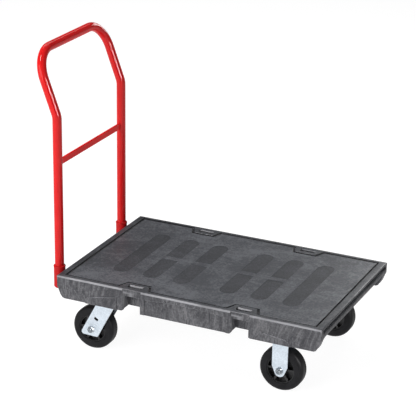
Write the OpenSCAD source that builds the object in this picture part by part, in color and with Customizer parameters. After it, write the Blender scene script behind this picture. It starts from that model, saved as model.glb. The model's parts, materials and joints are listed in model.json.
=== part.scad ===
// Platform truck: a moulded flat deck with moulded tie-down slots, a lift-out bent-tube push
// handle, two rigid casters at the front and two swivel casters under the handle end.
// Frame: +Z up, floor at z = 0, +X to the front (away from the handle), +Y to the left side.

/* [Deck] */
// Length of the deck over the end walls
deck_length = 914; // [700:1:1200]
// Width of the deck over the side skirts
deck_width = 590; // [450:1:760]
// Height of the load surface rim above the floor
deck_height = 263; // [200:1:320]
// Depth of the side skirts below the rim
skirt_depth = 78; // [50:1:110]
// Thickness of the top skin
deck_skin = 7; // [4:0.5:12]
// Thickness of the skirts
skirt_wall = 6; // [4:0.5:10]
// Inward draft of each side skirt over its depth
skirt_draft = 4; // [0:0.5:8]
// Radius of the long top edges
edge_radius = 8; // [3:0.5:12]
// Width of the raised rim along the sides
rim_side = 17; // [10:1:30]
// Width of the raised rim along the ends
rim_end = 22; // [10:1:35]
// Depth of the load floor below the rim
floor_drop = 1.5; // [0:0.1:4]
// Thickness of the underside ribs
rib_wall = 5; // [3:0.5:8]

/* [Tie-downs] */
// Distance of each side notch from the middle of the deck
notch_x = 187; // [100:1:300]
// Width of each side notch
notch_width = 57; // [40:1:90]
// Depth of each notch in from the skirt
notch_depth = 39; // [25:1:60]
// Height of the grab bar left above each notch
grab_bar = 24; // [15:1:35]
// Width of the slot through the deck behind each grab bar
slot_width = 15; // [10:0.5:25]

/* [Handle] */
// Outside diameter of the handle tube
tube_d = 30; // [22:0.5:38]
// Wall of the handle tube
tube_wall = 2; // [1.2:0.1:3]
// Distance of the handle posts from the middle of the deck
post_x = 490; // [400:1:600]
// Distance of each post from the centre line
post_y = 215.5; // [150:0.5:300]
// Height of the knee bends
knee_z = 768.4; // [600:1:900]
// Backward lean of the handle above the knees
lean = 20.5324; // [0:0.0001:45]
// Length of each leaning arm up to the line of the grip
arm_length = 211.8; // [120:1:300]
// Bend radius at the knees
knee_radius = 60; // [45:1:120]
// Bend radius at the grip's corners
corner_radius = 88; // [45:1:120]
// Height of the flat crossbar
crossbar_z = 614; // [400:1:720]
// Depth of the sockets' bore
socket_bore = 72; // [50:1:90]

/* [Wheels] */
// Diameter of each wheel
wheel_d = 146; // [100:1:200]
// Width of each tyre
tyre_w = 47; // [32:0.5:60]
// Shoulder radius of each tyre
shoulder = 13; // [4:0.5:18]
// Diameter of the wheel core's rim
core_d = 100; // [60:1:140]
// Number of spokes on each face of a core
spokes = 6; // [4:1:8]
// Diameter of the axle bolts
axle_d = 12.6; // [8:0.1:20]

/* [Casters] */
// Distance of the rigid casters in front of the middle
rigid_x = 305.5; // [200:1:400]
// Distance of the swivel pivots behind the middle
swivel_x = 307; // [200:1:400]
// Distance of every caster from the centre line
caster_y = 217; // [150:1:260]
// Trail of each swivel wheel behind its pivot
trail = 50; // [20:1:70]
// Thickness of the caster plates
plate_t = 4; // [3:0.5:8]
// Thickness of the caster legs
leg_t = 3.5; // [2.5:0.5:6]
// Length of a caster plate along the deck
plate_l = 114; // [90:1:130]
// Width of a caster plate across the deck
plate_w = 100; // [80:1:120]
// Bolt spacing along the deck
bolt_l = 92; // [60:1:110]
// Bolt spacing across the deck
bolt_w = 76; // [50:1:90]

/* [Hidden] */
$fn = 64;
charcoal = [0.22, 0.22, 0.24];
red = [0.80, 0.09, 0.09];
zinc = [0.80, 0.84, 0.88];
rubber = [0.13, 0.13, 0.14];
black = [0.07, 0.07, 0.075];
steel = [0.62, 0.63, 0.65];
e = 0.01;
// the whole cart's box is centred on the origin
back_x = -(post_x + arm_length * sin(lean) + tube_d / 2);
shift_x = -(back_x + deck_length / 2) / 2;
hl = deck_length / 2;
hw = deck_width / 2;
z_skirt = deck_height - skirt_depth;
z_floor = deck_height - floor_drop;
z_skin = z_floor - deck_skin;
wall_in = hw - skirt_draft - skirt_wall;
// the end walls stop short of the skirts
z_end = deck_height - 34;
end_wall = 14;
bumper_groove = 8;
rib_depth = 14;
line_width = 7;
line_depth = 4;
notch_round = 11;
z_plate = z_skirt + 3;
z_axle = wheel_d / 2;
hub_half = 25;
leg_in = 27;
leg_out = leg_in + leg_t;
head_h = 7.5;
nut_h = 10;
hex_d = 22;
race_r = 27;
ball_r = 4;
crown_z = z_plate - plate_t - 8;
crown_t = 6;
grab_z = deck_height - grab_bar;
notch_y = hw - notch_depth;
slot_y = notch_y + slot_width / 2;
socket_z = deck_height - socket_bore;
column_x = [-297, -189, -82, 82, 189, 297];
bracket_x = [-hl + 27, -hl + 59];

// ---------- shared shapes ----------

function arc(cx, cy, r, a0, a1, n = 5) =
  [for (i = [0 : n]) [cx + r * cos(a0 + (a1 - a0) * i / n), cy + r * sin(a0 + (a1 - a0) * i / n)]];
function rounded(lx, ly, r, n = 5) = concat(
  arc(lx - r, ly - r, r, 0, 90, n), arc(-lx + r, ly - r, r, 90, 180, n),
  arc(-lx + r, -ly + r, r, 180, 270, n), arc(lx - r, -ly + r, r, 270, 360, n));

// box given by its low and high corners
module block(lo, hi) translate(lo) cube(hi - lo);

// extrusion of an x-z outline from y0 to y1
module along_y(y0, y1, pts) translate([0, y1, 0]) rotate([90, 0, 0]) linear_extrude(y1 - y0) polygon(pts);

// extrusion of a y-z outline from x0 to x1
module along_x(x0, x1, pts)
  translate([x0, 0, 0]) rotate([90, 0, 90]) linear_extrude(x1 - x0) polygon(pts);

// cylinder along y
module rod_y(x, z, y0, y1, r) translate([x, y0, z]) rotate([-90, 0, 0]) cylinder(h = y1 - y0, r = r);

// section of the handle tube
module ring() difference() {
  circle(d = tube_d);
  circle(d = tube_d - 2 * tube_wall);
}

module both_sides() for (s = [-1, 1]) scale([1, s, 1]) children();
module hexagon(h, flats) cylinder(h = h, d = flats / cos(30), $fn = 6);

// ---------- deck ----------

// inner outline of the rim, stepped round the slots; d moves it inwards
function floor_outline(d) = let (x = hl - rim_end - d, y = hw - rim_side - d, t = notch_width / 2 + 6 + d)
  concat([[-x, -y]], tab_points(-notch_x, -y, t, d, 1), tab_points(notch_x, -y, t, d, 1),
    [[x, -y], [x, y]], tab_points(notch_x, y, t, d, -1), tab_points(-notch_x, y, t, d, -1),
    [[-x, y]]);
function tab_points(cx, y, t, d, s) = let (yi = s * -(notch_y - 16 - d))
  [[cx - s * (t + 15), y], [cx - s * t, yi], [cx + s * t, yi], [cx + s * (t + 15), y]];

// side view of the whole moulding: both ends rake in below the end walls
module side_form() along_y(-hw - 1, hw + 1, concat(
  arc(hl - 5, deck_height - 5, 5, 0, 90, 4), arc(-hl + 5, deck_height - 5, 5, 90, 180, 4),
  [[-hl, z_end], [-hl + 4, z_end - 8], [-hl + 12, z_skirt + 14], [-hl + 19, z_skirt + 3],
   [-hl + 26, z_skirt], [hl - 26, z_skirt], [hl - 19, z_skirt + 3], [hl - 12, z_skirt + 14],
   [hl - 4, z_end - 8], [hl, z_end]]));

// end view of the whole moulding: drafted skirts with rounded top edges
module end_form() along_x(-hl - 1, hl + 1, concat(
  arc(hw - edge_radius, deck_height - edge_radius, edge_radius, 0, 90, 6),
  arc(-hw + edge_radius, deck_height - edge_radius, edge_radius, 90, 180, 6),
  [[-hw + skirt_draft, z_skirt], [hw - skirt_draft, z_skirt]]));

module stadium(x, y0, y1, w, h) {
  translate([x - w / 2, y0 + w / 2, 0]) cube([w, y1 - y0 - w, h]);
  for (y = [y0 + w / 2, y1 - w / 2]) translate([x, y, 0]) cylinder(h = h, d = w);
}

// panel with one round end and one flat end
module half_panel(x, y0, y1, w, h) {
  translate([x - w / 2, y0, 0]) cube([w, y1 - y0 - w / 2, h]);
  translate([x, y1 - w / 2, 0]) cylinder(h = h, d = w);
}

// takes a rounded corner off the skirt where it meets a notch's wall at x
module corner_cut(x, r) difference() {
  block([x - r, notch_y - 6, z_skirt - 1], [x + 1, hw + 1, z_skirt + r]);
  rod_y(x - r, z_skirt + r, notch_y - 7, hw + 2, r);
}

module caster_posts(x) {
  both_sides() translate([x, caster_y, 0]) {
    for (i = [-1, 1], j = [-1, 1]) translate([i * bolt_l / 2, j * bolt_w / 2, z_plate])
      cylinder(h = z_skin - z_plate + 1, r = 12);
    for (j = [-1, 1])
      block([-bolt_l / 2, j * bolt_w / 2 - rib_wall / 2, z_plate],
        [bolt_l / 2, j * bolt_w / 2 + rib_wall / 2, z_skin + 1]);
    // the middle rib stops short of the kingpin's head
    for (i = [-1, 0, 1])
      block([i * bolt_l / 2 - rib_wall / 2, -bolt_w / 2, i == 0 ? z_plate + 8 : z_plate],
        [i * bolt_l / 2 + rib_wall / 2, bolt_w / 2, z_skin + 1]);
  }
}

module ribs() {
  for (y = [-150, -75, 0, 75, 150])
    block([-hl + 5, y - rib_wall / 2, z_skin - rib_depth], [hl - 5, y + rib_wall / 2, z_skin + 1]);
  for (x = [-375, -230, -140, -50, 50, 140, 230, 375])
    block([x - rib_wall / 2, -wall_in - 1, z_skin - rib_depth], [x + rib_wall / 2, wall_in + 1, z_skin + 1]);
}

// raised pads beside the casters: they stay upright while the skirt drafts away
module caster_pads() both_sides() {
  along_y(hw - 8, hw - 0.5, [[-swivel_x - 46, z_skirt], [-swivel_x - 40, z_skirt + 20],
    [-swivel_x - 12, z_skirt + 27], [-swivel_x + 66, z_skirt + 42], [-swivel_x + 68, z_skirt]]);
  along_y(hw - 8, hw - 0.5, [[rigid_x - 85, z_skirt], [rigid_x - 85, deck_height - 22],
    [rigid_x - 55, deck_height - 22], [rigid_x - 46, z_skirt + 34], [rigid_x - 40, z_skirt + 27],
    [rigid_x, z_skirt + 23], [rigid_x + 30, z_skirt + 19], [rigid_x + 45, z_skirt + 12],
    [rigid_x + 52, z_skirt]]);
}

module deck_moulding() color(charcoal) difference() {
  union() {
    caster_pads();
    intersection() {
      union() {
        difference() {
          translate([0, 0, z_skirt]) linear_extrude(skirt_depth) polygon(rounded(hl, hw, 6));
          block([-hl + end_wall, -wall_in, z_skirt - 1], [hl - end_wall, wall_in, z_skin]);
          // the ends are open below the end walls, between the corner feet
          for (s = [-1, 1])
            block([s > 0 ? hl - 60 : -hl - 1, -wall_in + 22, z_skirt - 1],
              [s > 0 ? hl + 1 : -hl + 60, wall_in - 22, z_end]);
        }
        ribs();
        caster_posts(rigid_x);
        caster_posts(-swivel_x);
        // bosses that take the handle brackets' screws
        both_sides() for (x = bracket_x) translate([x, post_y, z_end - 1])
          cylinder(h = z_skin - z_end + 2, r = 11);
        // pockets behind the notches
        both_sides() for (x = [-notch_x, notch_x])
          block([x - notch_width / 2 - 5, notch_y - 5, z_skirt + 8],
            [x + notch_width / 2 + 5, hw - 1, z_skin + 1]);
        // corner feet close in behind the skirts
        both_sides() for (s = [-1, 1]) block([s > 0 ? hl - 34 : -hl + 1, wall_in - 22, z_skirt],
          [s > 0 ? hl - 1 : -hl + 34, wall_in - 17, z_skin + 1]);
      }
      side_form();
      end_form();
    }
  }
  // load floor and the line that borders it
  translate([0, 0, z_floor]) linear_extrude(10) polygon(floor_outline(0));
  difference() {
    translate([0, 0, z_floor - line_depth]) linear_extrude(line_depth + 1) polygon(floor_outline(0));
    translate([0, 0, z_floor - line_depth - 1]) linear_extrude(line_depth + 3)
      polygon(floor_outline(line_width));
  }
  // rounded panels sunk a little into the floor
  translate([0, 0, z_floor - 0.6]) for (i = [0 : 5])
    if (i == 0 || i == 5) stadium(column_x[i], -174, 174, 57, 2);
    else both_sides() half_panel(column_x[i], 13, 174, 57, 2);
  // bumper groove across each end wall
  for (s = [-1, 1]) block([s > 0 ? hl - bumper_groove : -hl - 1, -hw + 12, deck_height - 20],
    [s > 0 ? hl + 1 : -hl + bumper_groove, hw - 12, deck_height - 6]);
  both_sides() for (x = [-notch_x, notch_x]) {
    // notch up to the grab bar, slot behind the bar, and the bar's set-back face
    block([x - notch_width / 2, notch_y, z_skirt - 1], [x + notch_width / 2, hw + 1, grab_z]);
    block([x - notch_width / 2 + 3, notch_y, grab_z - 1],
      [x + notch_width / 2 - 3, notch_y + slot_width, deck_height + 1]);
    along_x(x - notch_width / 2 + 3, x + notch_width / 2 - 3, [[notch_y, deck_height - 5.5],
      [notch_y - 4, deck_height - 1.5], [notch_y - 4, deck_height + 1],
      [notch_y + slot_width + 4, deck_height + 1], [notch_y + slot_width + 4, deck_height],
      [notch_y + slot_width, deck_height - 4]]);
    block([x - notch_width / 2 - 4, hw - 4, z_skirt - 1], [x + notch_width / 2 + 4, hw + 1, deck_height + 1]);
    // the skirt's lower corner is rounded on the handle side of the notch
    corner_cut(x - notch_width / 2, notch_round);
  }
  // sunk panel between the notches
  both_sides() along_y(hw - 5.5, hw + 1, concat([[-notch_x + 44, z_skirt - 1]],
    [for (i = [0 : 8]) [-notch_x + 44 + i * (2 * notch_x - 92) / 8, deck_height - 24 + 7 * sin(i * 22.5)]],
    [[notch_x - 48, z_skirt - 1]]));
  // screw pilots
  for (x = [-swivel_x, rigid_x]) both_sides() translate([x, caster_y, z_plate - 1])
    for (i = [-1, 1], j = [-1, 1]) translate([i * bolt_l / 2, j * bolt_w / 2, 0]) cylinder(h = 46, r = 4);
  both_sides() for (x = bracket_x) translate([x, post_y, z_end - 2]) cylinder(h = 20, r = 3);
}

// ---------- handle ----------

// left half of the bent tube: post, knee, leaning arm, corner and half of the grip. The two
// halves run 3 mm into each other in the middle of the grip
module handle_half() {
  t = knee_radius * tan(lean / 2);
  translate([-post_x, post_y, knee_z - t]) {
    mirror([0, 0, 1]) linear_extrude(knee_z - t - socket_z - 0.3) ring();
    translate([-knee_radius, 0, 0]) {
      rotate([90, 0, 0]) rotate_extrude(angle = lean) translate([knee_radius, 0]) ring();
      rotate([0, -lean, 0]) translate([knee_radius, 0, 0]) {
        rotate([0, 0, 90]) linear_extrude(arm_length - t - corner_radius) ring();
        translate([0, -corner_radius, arm_length - t - corner_radius]) {
          rotate([90, 0, 90]) rotate_extrude(angle = 90) translate([corner_radius, 0]) ring();
          translate([0, 0, corner_radius]) rotate([90, 0, 0])
            linear_extrude(post_y - corner_radius + 3) ring();
        }
      }
    }
  }
}

module handle_tube() color(red) both_sides() handle_half();

module handle_crossbar() color(red) difference() {
  block([-post_x - 4, -post_y, crossbar_z - 10], [-post_x + 4, post_y, crossbar_z + 10]);
  both_sides() translate([-post_x, post_y, crossbar_z - 11]) cylinder(h = 22, d = tube_d);
}

module socket(s) color(red) translate([-post_x, s * post_y, 0]) rotate_extrude() difference() {
  polygon(concat([[0, z_skirt]], arc(13, z_skirt + 6, 6, -90, 0, 3), [[19, deck_height - 9]],
    arc(17, deck_height - 3, 3, 0, 90, 3), [[0, deck_height]]));
  translate([0, socket_z]) square([tube_d / 2 + 0.3, socket_bore + 1]);
}

// plate welded to the socket and screwed up under the end of the deck
module socket_bracket(s) color(red) translate([-post_x, s * post_y, 0]) difference() {
  union() {
    block([0, -26, z_end - 6], [104, 26, z_end - 1]);
    for (y = [-26, 21]) block([0, y, z_end - 30], [70, y + 5, z_end - 5]);
    block([0, -26, z_end - 30], [24, 26, z_end - 1]);
  }
  translate([0, 0, z_skirt]) cylinder(h = 60, r = 19);
  block([-1, -27, z_end - 31], [12, 27, z_end]);
  for (x = bracket_x) translate([post_x + x, 0, z_end - 10]) cylinder(h = 12, r = 3.4);
}

module socket_bracket_screws() color(steel)
  both_sides() for (x = bracket_x) translate([x, post_y, 0]) {
    translate([0, 0, z_end - 11]) hexagon(5, 10);
    translate([0, 0, z_end - 6.5]) cylinder(h = 22, r = 2.95);
  }

// ---------- casters ----------

module caster_screws() color(zinc)
  for (x = [-swivel_x, rigid_x]) both_sides() translate([x, caster_y, z_plate])
    for (i = [-1, 1], j = [-1, 1]) translate([i * bolt_l / 2, j * bolt_w / 2, 0]) {
      translate([0, 0, -plate_t - 5.5]) hexagon(5.5, 13);
      translate([0, 0, -plate_t - 0.5]) cylinder(h = 42, r = 3.95);
    }

module caster_plate() difference() {
  translate([0, 0, z_plate - plate_t]) linear_extrude(plate_t) polygon(rounded(plate_l / 2, plate_w / 2, 10));
  for (i = [-1, 1], j = [-1, 1]) translate([i * bolt_l / 2, j * bolt_w / 2, z_plate - plate_t - 1])
    cylinder(h = plate_t + 2, r = 4.5);
}

// outline of a rigid leg: straight sides, chamfers and a round foot
function rigid_leg() = concat([[-26, z_plate - plate_t + e], [-26, z_axle + 14]],
  arc(0, z_axle - 3, 18, 220, 320, 6), [[26, z_axle + 14], [26, z_plate - plate_t + e]]);

module rigid_frame(s) color(zinc) translate([rigid_x, s * caster_y, 0]) {
  difference() {
    union() {
      caster_plate();
      for (j = [-1, 1]) {
        along_y(min(j * leg_in, j * leg_out), max(j * leg_in, j * leg_out), rigid_leg());
        // pressed gussets where the legs meet the plate
        for (i = [-1, 1]) translate([i * 18, 0, 0]) along_x(-1.5, 1.5,
          [[j * leg_out, z_plate - plate_t], [j * (leg_out + 12), z_plate - plate_t],
           [j * leg_out, z_plate - plate_t - 16]]);
      }
    }
    rod_y(0, z_axle, -leg_out - 1, leg_out + 1, axle_d / 2 + 0.05);
  }
}

// raked outline of a swivel leg, seen from the side
function swivel_leg() = concat([[-26, crown_z - 1]],
  arc(-trail - 27, z_axle - 13, 9, 152, 265, 4), arc(-trail + 19, z_axle - 17, 6, 275, 332, 3),
  [[37.5, crown_z - 1]]);

module swivel_fork(s) color(zinc) translate([-swivel_x, s * caster_y, 0]) difference() {
  union() {
    translate([0, 0, crown_z - crown_t]) cylinder(h = crown_t, r = 30);
    block([-26, -leg_out, crown_z - crown_t], [37.5, leg_out, crown_z - 1]);
    for (j = [-1, 1]) along_y(min(j * leg_in, j * leg_out), max(j * leg_in, j * leg_out), swivel_leg());
  }
  rod_y(-trail, z_axle, -leg_out - 1, leg_out + 1, axle_d / 2 + 0.05);
  translate([0, 0, crown_z - crown_t - 1]) cylinder(h = crown_t + 2, r = 7.05);
  // small slot punched through each leg
  translate([-trail + 18, 0, z_axle + 40]) rotate([0, 30, 0])
    block([-7.5, -leg_out - 1, -4.5], [7.5, leg_out + 1, 4.5]);
}

module swivel_plate(s) color(zinc) translate([-swivel_x, s * caster_y, 0]) difference() {
  union() {
    caster_plate();
    // pressed ring round the ball race
    translate([0, 0, crown_z + 0.2]) cylinder(h = 8, r = 38);
  }
  translate([0, 0, z_plate - plate_t - 10]) cylinder(h = 10, r = 34.5);
  translate([0, 0, z_plate - plate_t - 1]) cylinder(h = plate_t + 2, r = 7);
}

module swivel_balls(s) color(steel) translate([-swivel_x, s * caster_y, crown_z + ball_r])
  for (i = [0 : 15]) rotate([0, 0, i * 22.5]) translate([race_r, 0, 0]) sphere(r = ball_r - 0.05, $fn = 32);

// bolt through the plate and the crown, with its nut below the crown
module kingpin(s) color(steel) translate([-swivel_x, s * caster_y, 0]) {
  translate([0, 0, z_plate]) cylinder(h = 4, r = 11);
  translate([0, 0, crown_z - crown_t - 8]) cylinder(h = z_plate - crown_z + crown_t + 8 + e, r = 7);
}

module kingpin_nut(s) color(zinc) translate([-swivel_x, s * caster_y, crown_z - crown_t - 8]) difference() {
  hexagon(7.5, 19);
  translate([0, 0, -1]) cylinder(h = 10, r = 7);
}

// ---------- wheels: each at its own place, axle along y, s is the outer side ----------

module at_wheel(x, s) translate([x, s * caster_y, z_axle]) scale([1, s, 1]) children();

module spanner() color(steel) difference() {
  rod_y(0, 0, -leg_in, leg_in, 9.5);
  rod_y(0, 0, -leg_in - 1, leg_in + 1, axle_d / 2 + 0.02);
}

module bearing() color(steel) difference() {
  rod_y(0, 0, -hub_half, hub_half, 14);
  rod_y(0, 0, -hub_half - 1, hub_half + 1, 9.55);
}

module axle() color(zinc) {
  rod_y(0, 0, -leg_out - e, leg_out + nut_h + 2.5, axle_d / 2);
  translate([0, -leg_out, 0]) rotate([90, 0, 0]) hexagon(head_h, hex_d - 3);
}

module nut() color(zinc) translate([0, leg_out, 0]) rotate([-90, 0, 0]) difference() {
  union() {
    cylinder(h = 1.6, r = 12);
    translate([0, 0, 1.5]) hexagon(nut_h - 4, hex_d - 2);
    translate([0, 0, nut_h - 2.6]) cylinder(h = 2.6, r = 9);
  }
  translate([0, 0, -1]) cylinder(h = nut_h + 2, d = axle_d + 0.04);
}

module core() color(black) difference() {
  union() {
    difference() {
      rod_y(0, 0, -20, 20, core_d / 2);
      rod_y(0, 0, -21, 21, core_d / 2 - 6);
    }
    rod_y(0, 0, -3, 3, core_d / 2 - 5);
    rod_y(0, 0, -hub_half, hub_half, 20);
    for (i = [0 : spokes - 1]) rotate([0, i * 360 / spokes, 0])
      block([18, -17, -3.5], [core_d / 2 - 5, 17, 3.5]);
  }
  rod_y(0, 0, -hub_half - 1, hub_half + 1, 14);
}

function tyre_outline() = let (R = wheel_d / 2, c = core_d / 2, w = tyre_w / 2) concat(
  [[c, -20], [c, 20], [c - 4, 20], [c - 4, 21.5], [c - 1.5, w]],
  arc(R - shoulder, w - shoulder, shoulder, 90, 0, 6), arc(R - shoulder, shoulder - w, shoulder, 0, -90, 6),
  [[c - 1.5, -w], [c - 4, -21.5], [c - 4, -20]]);
module tyre() color(rubber) rotate([-90, 0, 0]) rotate_extrude() polygon(tyre_outline());

// ---------- nodes ----------

module place() translate([shift_x, 0, 0]) children();

place() deck_moulding();
place() handle_tube();
place() handle_crossbar();
place() socket(-1);  // socket_right
place() socket(1);  // socket_left
place() socket_bracket(-1);  // socket_bracket_right
place() socket_bracket(1);  // socket_bracket_left
place() socket_bracket_screws();
place() caster_screws();
place() rigid_frame(-1);  // rigid_right_frame
place() at_wheel(rigid_x, -1) spanner();  // rigid_right_spanner
place() at_wheel(rigid_x, -1) axle();  // rigid_right_axle
place() at_wheel(rigid_x, -1) nut();  // rigid_right_nut
place() at_wheel(rigid_x, -1) core();  // rigid_right_core
place() at_wheel(rigid_x, -1) tyre();  // rigid_right_tyre
place() at_wheel(rigid_x, -1) bearing();  // rigid_right_bearing
place() rigid_frame(1);  // rigid_left_frame
place() at_wheel(rigid_x, 1) spanner();  // rigid_left_spanner
place() at_wheel(rigid_x, 1) axle();  // rigid_left_axle
place() at_wheel(rigid_x, 1) nut();  // rigid_left_nut
place() at_wheel(rigid_x, 1) core();  // rigid_left_core
place() at_wheel(rigid_x, 1) tyre();  // rigid_left_tyre
place() at_wheel(rigid_x, 1) bearing();  // rigid_left_bearing
place() swivel_plate(-1);  // swivel_right_plate
place() kingpin(-1);  // swivel_right_kingpin
place() kingpin_nut(-1);  // swivel_right_kingpin_nut
place() swivel_balls(-1);  // swivel_right_balls
place() swivel_fork(-1);  // swivel_right_fork
place() at_wheel(-swivel_x - trail, -1) spanner();  // swivel_right_spanner
place() at_wheel(-swivel_x - trail, -1) axle();  // swivel_right_axle
place() at_wheel(-swivel_x - trail, -1) nut();  // swivel_right_nut
place() at_wheel(-swivel_x - trail, -1) core();  // swivel_right_core
place() at_wheel(-swivel_x - trail, -1) tyre();  // swivel_right_tyre
place() at_wheel(-swivel_x - trail, -1) bearing();  // swivel_right_bearing
place() swivel_plate(1);  // swivel_left_plate
place() kingpin(1);  // swivel_left_kingpin
place() kingpin_nut(1);  // swivel_left_kingpin_nut
place() swivel_balls(1);  // swivel_left_balls
place() swivel_fork(1);  // swivel_left_fork
place() at_wheel(-swivel_x - trail, 1) spanner();  // swivel_left_spanner
place() at_wheel(-swivel_x - trail, 1) axle();  // swivel_left_axle
place() at_wheel(-swivel_x - trail, 1) nut();  // swivel_left_nut
place() at_wheel(-swivel_x - trail, 1) core();  // swivel_left_core
place() at_wheel(-swivel_x - trail, 1) tyre();  // swivel_left_tyre
place() at_wheel(-swivel_x - trail, 1) bearing();  // swivel_left_bearing
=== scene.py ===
"""Looks for the platform cart: finer copies of the moulded and pressed parts, and a procedural
material on every piece. Metres, in the row frame: +X front, -Y right, floor at z = 0."""
import json
import math

import bmesh
import bpy
from mathutils import Matrix, Vector

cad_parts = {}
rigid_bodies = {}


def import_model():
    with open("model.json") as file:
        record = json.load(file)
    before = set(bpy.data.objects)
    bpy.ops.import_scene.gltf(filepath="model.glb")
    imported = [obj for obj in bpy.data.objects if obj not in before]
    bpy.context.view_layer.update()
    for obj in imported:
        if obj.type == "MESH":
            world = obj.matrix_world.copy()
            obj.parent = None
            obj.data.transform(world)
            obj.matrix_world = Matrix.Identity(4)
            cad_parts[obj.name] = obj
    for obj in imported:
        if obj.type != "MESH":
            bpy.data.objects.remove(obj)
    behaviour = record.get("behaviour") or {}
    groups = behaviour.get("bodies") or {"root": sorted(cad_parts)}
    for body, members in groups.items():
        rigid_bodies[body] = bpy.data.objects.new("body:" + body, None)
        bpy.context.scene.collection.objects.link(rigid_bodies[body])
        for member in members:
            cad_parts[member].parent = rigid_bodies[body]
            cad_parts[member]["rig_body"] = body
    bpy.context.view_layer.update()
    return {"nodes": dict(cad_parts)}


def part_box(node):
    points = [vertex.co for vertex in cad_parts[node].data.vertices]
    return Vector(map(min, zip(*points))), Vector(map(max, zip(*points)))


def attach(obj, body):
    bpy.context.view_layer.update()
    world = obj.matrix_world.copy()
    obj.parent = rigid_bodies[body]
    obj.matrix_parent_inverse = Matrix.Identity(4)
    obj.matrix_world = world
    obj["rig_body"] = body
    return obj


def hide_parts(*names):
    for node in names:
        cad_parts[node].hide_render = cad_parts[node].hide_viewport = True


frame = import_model()
nodes = frame["nodes"]

deck_lo, deck_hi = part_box("deck_moulding")
DECK = Vector(((deck_lo.x + deck_hi.x) / 2, 0, deck_hi.z))   # middle of the rim's top plane
HL = (deck_hi.x - deck_lo.x) / 2   # half the deck's length
HW = (deck_hi.y - deck_lo.y) / 2   # half the deck's width
FLOOR_Z = deck_hi.z - .0015        # load floor, a little below the rim
PANEL_DEPTH = .0006                # sunk panels below the load floor
LINE_DEPTH = .004                  # border line below the load floor
END_GROOVE = .009                  # how far in from the deck's ends the bumper grooves reach
LEAST_EASE = .0003                 # smaller steps keep their sharp edges
EASE_ANGLE = math.radians(28)      # edges that turn by more than this are eased
SHARP_ANGLE = math.radians(50)     # edges that turn by more than this stay sharp in the shading
FLAT_ANGLE = .01                   # radians: an edge inside a flat face turns by less


# ---------- node graphs ----------

class Graph:
    """A material with a Principled shader, and short calls that add nodes to it."""

    def __init__(self, name, **constants):
        self.mat = bpy.data.materials.new(name)
        self.mat.use_nodes = True
        self.tree = self.mat.node_tree
        self.shader = self.tree.nodes["Principled BSDF"]
        for key, value in constants.items():
            self.put(self.shader.inputs[key.replace("_", " ")], value)

    def put(self, socket, value):
        if isinstance(value, bpy.types.NodeSocket):
            self.tree.links.new(value, socket)
        elif socket.type == "RGBA" and len(value) == 3:
            socket.default_value = (*value, 1)
        else:
            socket.default_value = value

    def add(self, kind, props=None, **inputs):
        n = self.tree.nodes.new(kind)
        for key, value in (props or {}).items():
            setattr(n, key, value)
        for key, value in inputs.items():
            self.put(n.inputs[key.replace("_", " ")], value)
        return n

    def coords(self, kind="Object"):
        return self.add("ShaderNodeTexCoord").outputs[kind]

    def split(self, vector):
        """The x, y and z of a vector."""
        return self.add("ShaderNodeSeparateXYZ", Vector=vector).outputs

    def sizes(self, vector):
        """The x, y and z of a vector without their signs."""
        return self.split(self.vmath("ABSOLUTE", vector))

    def math(self, op, *values):
        n = self.add("ShaderNodeMath", {"operation": op})
        for socket, value in zip(n.inputs, values):
            self.put(socket, value)
        return n.outputs[0]

    def vmath(self, op, *values, out="Vector"):
        n = self.add("ShaderNodeVectorMath", {"operation": op})
        for socket, value in zip(n.inputs, values):
            self.put(socket, value)
        return n.outputs[out]

    def total(self, *terms):
        """The sum of (value, weight) terms."""
        parts = [self.math("MULTIPLY", value, weight) for value, weight in terms]
        for other in parts[1:]:
            parts[0] = self.math("ADD", parts[0], other)
        return parts[0]

    def stretch(self, vector, x, y, z):
        return self.vmath("MULTIPLY", vector, (x, y, z))

    def noise(self, vector, scale, detail=3.0, rough=.55, distort=0.0):
        return self.add("ShaderNodeTexNoise", Vector=vector, Scale=scale, Detail=detail,
                        Roughness=rough, Distortion=distort).outputs["Fac"]

    def ramp(self, fac, a, b, low=0.0, high=1.0, smooth=True):
        n = self.add("ShaderNodeMapRange",
                     {"interpolation_type": "SMOOTHSTEP" if smooth else "LINEAR"},
                     Value=fac, From_Min=a, From_Max=b, To_Min=low, To_Max=high)
        return n.outputs["Result"]

    def mix(self, fac, a, b):
        n = self.add("ShaderNodeMix", {"data_type": "RGBA"})
        for socket, value in ((n.inputs[0], fac), (n.inputs[6], a), (n.inputs[7], b)):
            self.put(socket, value)
        return n.outputs[2]

    def colours(self, fac, *stops):
        n = self.add("ShaderNodeValToRGB", Fac=fac)
        ramp = n.color_ramp
        while len(ramp.elements) < len(stops):
            ramp.elements.new(.5)
        for element, (at, rgb) in zip(ramp.elements, stops):
            element.position = at
            element.color = (*rgb, 1)
        return n.outputs[0]

    def bump(self, height, strength, distance, normal=None):
        n = self.add("ShaderNodeBump", Height=height, Strength=strength, Distance=distance)
        if normal is not None:
            self.put(n.inputs["Normal"], normal)
        return n.outputs[0]

    def wire(self, **sockets):
        for key, value in sockets.items():
            self.put(self.shader.inputs[key.replace("_", " ")], value)
        return self.mat


def edge_wear_and_highlight(g):
    """1 where a surface turns between two flat faces, 0 on the flat faces themselves."""
    x, y, z = g.sizes(g.coords("Normal"))
    return g.ramp(g.math("MAXIMUM", g.math("MAXIMUM", x, y), z), .90, .985, 1.0, 0.0)


def blot(g, p, x, y, reach):
    """1 at a place on the load floor, fading to 0 at reach."""
    flat = g.vmath("MULTIPLY", g.vmath("SUBTRACT", p, (DECK.x + x, y, 0)), (1, 1, 0))
    return g.ramp(g.vmath("LENGTH", flat, out="Value"), reach * .25, reach, 1.0, 0.0)


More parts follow.
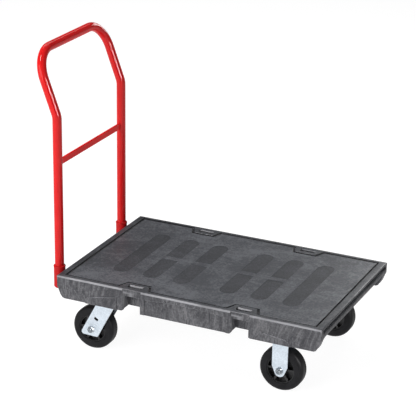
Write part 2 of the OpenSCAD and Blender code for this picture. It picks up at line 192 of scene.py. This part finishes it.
def deck_material():
    """Charcoal structural foam: cloudy swirls on top, combed streaks down the sides."""
    g = Graph("charcoal_foam", IOR=1.48, Specular_IOR_Level=.2)
    p = g.coords()
    nz = g.split(g.coords("Normal"))[2]
    top = g.ramp(nz, .55, .9)
    # slow drift that bends every finer pattern
    drift = g.add("ShaderNodeTexNoise", Vector=p, Scale=3.2, Detail=2.0).outputs["Color"]
    bent = g.vmath("ADD", p, g.vmath("MULTIPLY", g.vmath("SUBTRACT", drift, (.5, .5, .5)),
                                     (.16, .16, .05)))
    cloud = g.noise(bent, 6.5, 4.0, .58, .6)
    wisps = g.noise(g.stretch(bent, 14, 34, 14), 1.0, 4.0, .6, 1.1)
    cross = g.noise(g.stretch(bent, 46, 15, 15), 1.0, 3.0, .6, .8)
    grain = g.noise(p, 420, 2.0, .6)
    speck = g.noise(p, 170, 3.0, .6)
    tone = g.total((cloud, .20), (wisps, .22), (cross, .13), (speck, .31), (grain, .14))
    # two darker clouds, and a darker handle end that is painted shade; a paler band each side
    dark = g.total((blot(g, bent, -.082, -.085, .12), 1.0), (blot(g, bent, .085, .095, .13), 1.0),
                   (blot(g, bent, -.38, -.03, .28), .5))
    across = g.sizes(bent)[1]
    band = g.math("MULTIPLY", g.ramp(across, .17, .205), g.ramp(across, .225, .25, 1.0, 0.0))
    tone = g.total((tone, 1.0), (dark, -.055), (band, .012))
    top_col = g.colours(tone, (.45, (.056, .060, .070)), (.5, (.084, .089, .101)),
                        (.55, (.128, .135, .150)))
    # sides: streaks that run down the skirt and fan a little
    comb = g.vmath("ADD", g.stretch(bent, 120, 120, 12), g.vmath("MULTIPLY", drift, (5, 5, 0)))
    streak = g.noise(comb, 1.0, 3.0, .62, .5)
    patch = g.noise(bent, 9.0, 3.0, .6, .4)
    side = g.total((streak, .46), (patch, .26), (speck, .28))
    side_col = g.colours(side, (.40, (.050, .050, .056)), (.5, (.088, .088, .096)),
                         (.60, (.158, .157, .166)))
    # the rim outside the border line is darker, and a pale line along its long top edges is a
    # painted highlight
    y, z = g.sizes(p)[1:]
    rim = g.ramp(z, FLOOR_Z + .0003, FLOOR_Z + .0008)
    top_col = g.mix(g.math("MULTIPLY", rim, .45), top_col, (.026, .027, .031))
    painted_edge_highlight = g.math("MULTIPLY", g.ramp(y, HW - .0026, HW - .0010),
                    g.ramp(z, DECK.z - .0026, DECK.z - .0010))
    # rounded edges facing partly sideways are lightened: part wear, part painted highlight
    nx, ny = g.sizes(g.coords("Normal"))[:2]
    sideways = g.math("MULTIPLY", g.ramp(ny, .08, .3), g.ramp(nx, .3, .55, 1.0, 0.0))
    wear_and_highlight = g.math("MAXIMUM", g.math("MULTIPLY", edge_wear_and_highlight(g), sideways), painted_edge_highlight)
    wear_and_highlight = g.math("MULTIPLY", wear_and_highlight, g.ramp(cloud, .35, .6, .6, 1.0))
    col = g.mix(wear_and_highlight, g.mix(top, side_col, top_col), (.34, .34, .36))
    rough = g.ramp(tone, .38, .62, .50, .38, smooth=False)
    rough = g.total((rough, 1.0), (g.math("SUBTRACT", 1.0, top), .10), (wear_and_highlight, -.12))
    lumps = g.bump(cloud, .25, .0016)
    fine = g.bump(g.total((grain, .6), (speck, .4)), .30, .0006, lumps)
    return g.wire(Base_Color=col, Roughness=rough, Normal=fine)


def pad_material():
    """The sunk panels of the load floor: darker, finely grained and more matt."""
    g = Graph("charcoal_pad", IOR=1.45, Specular_IOR_Level=.2)
    p = g.coords()
    cloud = g.noise(p, 7.5, 4.0, .6, .7)
    speck = g.noise(p, 190, 3.0, .6)
    grain = g.noise(p, 520, 2.0, .6)
    tone = g.total((cloud, .35), (speck, .42), (grain, .23))
    col = g.colours(tone, (.40, (.032, .034, .040)), (.52, (.047, .049, .057)),
                    (.62, (.076, .079, .090)))
    return g.wire(Base_Color=col, Roughness=g.ramp(tone, .38, .62, .60, .50, smooth=False),
                  Normal=g.bump(g.total((grain, .5), (speck, .5)), .4, .0007))


def groove_dirt_and_shade_material():
    """The bottom and walls of the border line, near black: dirt, and painted shade where little
    light reaches.
    """
    g = Graph("charcoal_groove_dirt_and_shade", IOR=1.4)
    dirt_and_shade = g.noise(g.coords(), 60, 3.0, .6)
    col = g.colours(dirt_and_shade, (.35, (.008, .008, .010)), (.65, (.020, .020, .024)))
    return g.wire(Base_Color=col, Roughness=g.ramp(dirt_and_shade, .35, .65, .8, .6, smooth=False))


def red_material(name="red_powder_coat", gloss=.5, shade=1.0):
    """Red powder coat: even colour, slight orange peel, and its gloss."""
    g = Graph(name, Specular_IOR_Level=0, Coat_Weight=gloss, Coat_Roughness=.05, Coat_IOR=1.42)
    p = g.coords()
    peel = g.noise(p, 260, 2.0, .5)
    cloud = g.noise(p, 9, 3.0, .55, .3)
    col = g.colours(cloud, (.3, (.60 * shade, .010, .011)), (.7, (.68 * shade, .015, .016)))
    return g.wire(Base_Color=col, Roughness=g.ramp(cloud, .3, .7, .38, .46, smooth=False),
                  Normal=g.bump(peel, .05, .0004))


def zinc_material(name="bright_zinc", dark=(.52, .58, .64), bright=(.70, .77, .84), rough=.34):
    """Zinc plate with a faint bluish spangle, and edges lightened as wear and as a painted
    highlight.
    """
    g = Graph(name, Metallic=.9)
    p = g.coords()
    cells = g.add("ShaderNodeTexVoronoi", {"feature": "F1"}, Vector=p, Scale=260).outputs["Color"]
    cloud = g.noise(p, 28, 3.0, .6, .5)
    tone = g.total((g.split(cells)[0], .3), (cloud, .7))
    col = g.mix(g.math("MULTIPLY", edge_wear_and_highlight(g), .7), g.colours(tone, (.25, dark), (.75, bright)),
                (.92, .95, .97))
    return g.wire(Base_Color=col, Roughness=g.ramp(tone, .2, .8, rough + .08, rough, smooth=False),
                  Normal=g.bump(tone, .08, .0005))


def steel_material():
    """Turned steel of pins, balls and bearings."""
    g = Graph("turned_steel", Metallic=1.0)
    p = g.coords()
    rings = g.noise(g.stretch(p, 60, 900, 60), 1.0, 2.0, .5)
    col = g.colours(rings, (.3, (.42, .43, .45)), (.7, (.62, .63, .65)))
    return g.wire(Base_Color=col, Roughness=g.ramp(rings, .3, .7, .36, .26, smooth=False),
                  Normal=g.bump(rings, .06, .0003))


def tyre_material():
    """Moulded black rubber, a little dusty."""
    g = Graph("moulded_rubber", IOR=1.4, Specular_IOR_Level=.14)
    p = g.coords()
    dust = g.noise(p, 26, 4.0, .6, .5)
    grain = g.noise(p, 700, 2.0, .6)
    tone = g.total((dust, .7), (grain, .3))
    col = g.colours(tone, (.35, (.009, .009, .010)), (.65, (.018, .018, .020)))
    return g.wire(Base_Color=col, Roughness=g.ramp(tone, .35, .65, .55, .44, smooth=False),
                  Normal=g.bump(grain, .18, .0004))


def core_material():
    """Black moulded wheel core."""
    g = Graph("wheel_core_plastic", IOR=1.46)
    p = g.coords()
    flow = g.noise(p, 34, 3.0, .55, .6)
    grain = g.noise(p, 520, 2.0, .5)
    col = g.colours(flow, (.3, (.009, .009, .010)), (.7, (.018, .018, .020)))
    return g.wire(Base_Color=col, Roughness=g.ramp(flow, .3, .7, .44, .34, smooth=False),
                  Normal=g.bump(grain, .12, .0004))


# ---------- pieces ----------

def welded(node):
    """A bmesh of a CAD node's mesh: split vertices joined, slivers in flat faces cleared."""
    bm = bmesh.new()
    bm.from_mesh(nodes[node].data)
    bmesh.ops.remove_doubles(bm, verts=bm.verts, dist=1e-6)
    bmesh.ops.dissolve_limit(bm, angle_limit=math.radians(.6), verts=bm.verts, edges=bm.edges)
    return bm


def room_at(edge, vert):
    """How far an edge can be eased at one end before it meets the next edge there."""
    along = (edge.other_vert(vert).co - vert.co).normalized()
    room = 1.0
    for other in vert.link_edges:
        if other is not edge:
            way = other.other_vert(vert).co - vert.co
            if abs(along.dot(way.normalized())) < .9:
                room = min(room, .35 * along.cross(way).length)
    return room


def ease_widths(bm, width):
    """Writes each sharp edge's bevel weight: one width along each unbroken run of edges."""
    weight = bm.edges.layers.float.new("bevel_weight_edge")
    paired = [e for e in bm.edges if len(e.link_faces) == 2]
    sharp = {e for e in paired if e.calc_face_angle() > EASE_ANGLE}
    # an edge inside a flat face, which joins a hole to the outline, holds its ends still
    bridges = {e for e in paired if e.calc_face_angle() < FLAT_ANGLE}
    left = set(sharp)
    for seed in sorted(sharp, key=lambda e: e.index):
        if seed not in left:
            continue
        left.discard(seed)
        run, queue = [seed], [seed]
        while queue:
            edge = queue.pop()
            for vert in edge.verts:
                along = (edge.other_vert(vert).co - vert.co).normalized()
                for other in vert.link_edges:
                    way = (other.other_vert(vert).co - vert.co).normalized()
                    if other in left and along.dot(way) < -.85:
                        left.discard(other)
                        run.append(other)
                        queue.append(other)
        room = min(room_at(e, v) for e in run for v in e.verts)
        if any(other in bridges for e in run for v in e.verts for other in v.link_edges):
            room = 0
        if room < LEAST_EASE:
            room = 0
        for e in run:
            e[weight] = min(1.0, room / width)


def applied(piece, kind, **settings):
    """The piece's mesh with one more modifier applied."""
    mod = piece.modifiers.new(kind.lower(), kind)
    for key, value in settings.items():
        setattr(mod, key, value)
    bpy.context.view_layer.update()
    done = bpy.data.meshes.new_from_object(
        piece.evaluated_get(bpy.context.evaluated_depsgraph_get()))
    piece.modifiers.clear()
    piece.data = done
    return done


def finer(node, width, *materials):
    """Stands for a CAD node: the same shape with its sharp edges eased by up to width."""
    bm = welded(node)
    ease_widths(bm, width)
    mesh = bpy.data.meshes.new(node + "_fine")
    bm.to_mesh(mesh)
    bm.free()
    piece = bpy.data.objects.new(node + "_fine", mesh)
    bpy.context.scene.collection.objects.link(piece)
    done = applied(piece, "BEVEL", width=width, segments=2, limit_method="WEIGHT",
                   use_clamp_overlap=False)
    done.polygons.foreach_set("use_smooth", [True] * len(done.polygons))
    done.set_sharp_from_angle(angle=SHARP_ANGLE)
    applied(piece, "WEIGHTED_NORMAL", mode="FACE_AREA", weight=50, keep_sharp=True)
    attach(piece, nodes[node]["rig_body"])
    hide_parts(node)
    return dress(piece, *materials)


def dress(piece, *materials):
    """Gives a piece these materials and no others."""
    piece.data.materials.clear()
    for m in materials:
        piece.data.materials.append(m)
    return piece


def load_floor_regions(deck):
    """Gives the sunk panels and the border line their own materials, by height and facing; the
    border line's is near black, dirt and painted shade.
    """
    foam, panel, line = range(3)
    panel_z, line_z = FLOOR_Z - PANEL_DEPTH, FLOOR_Z - LINE_DEPTH
    for poly in deck.data.polygons:
        z, up = poly.center.z, poly.normal.z
        lowest = min(deck.data.vertices[i].co.z for i in poly.vertices)
        line_wall = (abs(up) < .2 and line_z < z < FLOOR_Z + 5e-4 and lowest > line_z - 1e-3
                     and abs(poly.center.x - DECK.x) < HL - END_GROOVE)
        poly.material_index = (panel if up > .99 and abs(z - panel_z) < 2e-4 else
                               line if up > .99 and abs(z - line_z) < 3e-4 or line_wall else foam)


RED, RUBBER, CORE, STEEL = red_material(), tyre_material(), core_material(), steel_material()
ZINC = zinc_material()
# crossbar: less gloss, and its red painted lighter, painted light on faces the key light leaves
# dark
DULL_PAINTED_LIGHT_RED = red_material("red_powder_coat_dull_painted_light", gloss=.28, shade=1.3)
# sockets and brackets: the same red, darker
SOCKET_RED = red_material("red_darker", gloss=.3, shade=.78)
# nuts and axles: the zinc painted darker, painted shade that sets them off from the bright legs
PAINTED_SHADE_ZINC = zinc_material("zinc_painted_shade", dark=(.15, .17, .19), bright=(.26, .29, .32), rough=.36)

deck = finer("deck_moulding", .0008, deck_material(), pad_material(), groove_dirt_and_shade_material())
load_floor_regions(deck)

# how far each kind of piece has its edges eased (0 leaves the CAD mesh), and its material
KINDS = {"screws": (.0004, ZINC), "tube": (0, RED), "crossbar": (.0010, DULL_PAINTED_LIGHT_RED),
         "socket": (.0010, SOCKET_RED), "bracket": (.0010, SOCKET_RED), "tyre": (0, RUBBER),
         "core": (.0008, CORE), "balls": (0, STEEL), "bearing": (0, STEEL), "spanner": (0, STEEL),
         "nut": (.0003, PAINTED_SHADE_ZINC), "axle": (.0005, PAINTED_SHADE_ZINC), "kingpin": (.0006, STEEL),
         "plate": (.0010, ZINC), "fork": (.0010, ZINC), "frame": (.0010, ZINC)}


def kind_of(name):
    """The last word of a node's name that says what the piece is."""
    return next(word for word in reversed(name.split("_")) if word in KINDS)


for name in sorted(set(nodes) - {"deck_moulding"}):
    width, material = KINDS[kind_of(name)]
    if width:
        finer(name, width, material)
    else:
        dress(nodes[name], material)


# ---------- stage ----------

def panel(name, azimuth, elevation, distance, wide, tall, glow, height=.45, gloss_only=False):
    """A soft light panel with the radiance glow, seen at these angles from this height.

    Azimuth 0 is the cart's right side, -Y, and grows towards its front, +X.
    """
    light = bpy.data.lights.new(name, "AREA")
    light.shape = "RECTANGLE"
    light.size, light.size_y = wide, tall
    light.energy = glow * math.pi * wide * tall
    az, el = math.radians(azimuth), math.radians(elevation)
    way = Vector((math.sin(az) * math.cos(el), -math.cos(az) * math.cos(el), math.sin(el)))
    ob = bpy.data.objects.new(name, light)
    ob.location = Vector((0, 0, height)) + way * distance
    ob.rotation_euler = (-way).to_track_quat("-Z", "Y").to_euler()
    ob.visible_camera = False
    ob.visible_diffuse = not gloss_only
    bpy.context.scene.collection.objects.link(ob)


def stage_mesh(name, bm, base, glow):
    """A white surface of the studio, which reflects base and gives off glow."""
    mesh = bpy.data.meshes.new(name)
    bm.to_mesh(mesh)
    bm.free()
    g = Graph("pale_" + name, Base_Color=(base, base, base), Roughness=.9,
              Emission_Color=(1, 1, 1), Emission_Strength=glow)
    mesh.materials.append(g.mat)
    ob = bpy.data.objects.new(name, mesh)
    bpy.context.scene.collection.objects.link(ob)
    return ob


def studio():
    """A plain pale floor, a pale surround and soft light panels."""
    world = bpy.data.worlds.new("studio")
    bpy.context.scene.world = world
    world.use_nodes = True
    back = world.node_tree.nodes["Background"]
    back.inputs[0].default_value = (1, 1, 1, 1)
    back.inputs[1].default_value = .15
    bm = bmesh.new()
    bmesh.ops.create_circle(bm, cap_ends=True, segments=64, radius=30)
    stage_mesh("floor", bm, .20, .92)
    # a pale wall all round and overhead, which only the camera sees
    bm = bmesh.new()
    bmesh.ops.create_cone(bm, cap_ends=True, segments=64, radius1=29, radius2=29, depth=40)
    wall = stage_mesh("wall", bm, 0, .95)
    wall.visible_diffuse = wall.visible_glossy = wall.visible_shadow = False
    panel("key", -22, 20, 4.4, 3.4, 2.6, 4.3)
    panel("top", -47, 60, 3.6, 1.1, .75, 22)
    panel("side", 70, 12, 3.9, 1.0, 1.3, 60, .85, gloss_only=True)
    panel("fill", 72, 18, 4.2, 2.2, 2.0, .7)
    panel("back_band", 176, 13, 4.2, 1.9, 1.3, 11, .95, gloss_only=True)
    panel("back_top", 215, 50, 3.8, 2.6, 1.8, 2.2)
    view = bpy.context.scene.view_settings
    view.view_transform, view.look = "Standard", "None"


def camera():
    """Long lens, from the front right and above, turned to the photo's angle."""
    azimuth, elevation, roll = map(math.radians, (24.735, 21.234, .951))
    distance, focal = 5.466, 146.88
    target = Vector((DECK.x - .0611, 0, .4629))
    back = Vector((math.sin(azimuth) * math.cos(elevation),
                   -math.cos(azimuth) * math.cos(elevation), math.sin(elevation)))
    right = Vector((math.cos(azimuth), math.sin(azimuth), 0))
    up = back.cross(right)
    c, s = math.cos(roll), math.sin(roll)
    right, up = right * c + up * s, up * c - right * s
    data = bpy.data.cameras.new("camera")
    data.lens = focal
    data.sensor_width = 36
    data.clip_end = 100
    ob = bpy.data.objects.new("camera", data)
    at = target + back * distance
    ob.matrix_world = Matrix((
        (right.x, up.x, back.x, at.x), (right.y, up.y, back.y, at.y),
        (right.z, up.z, back.z, at.z), (0, 0, 0, 1)))
    bpy.context.scene.collection.objects.link(ob)
    bpy.context.scene.camera = ob


studio()
camera()
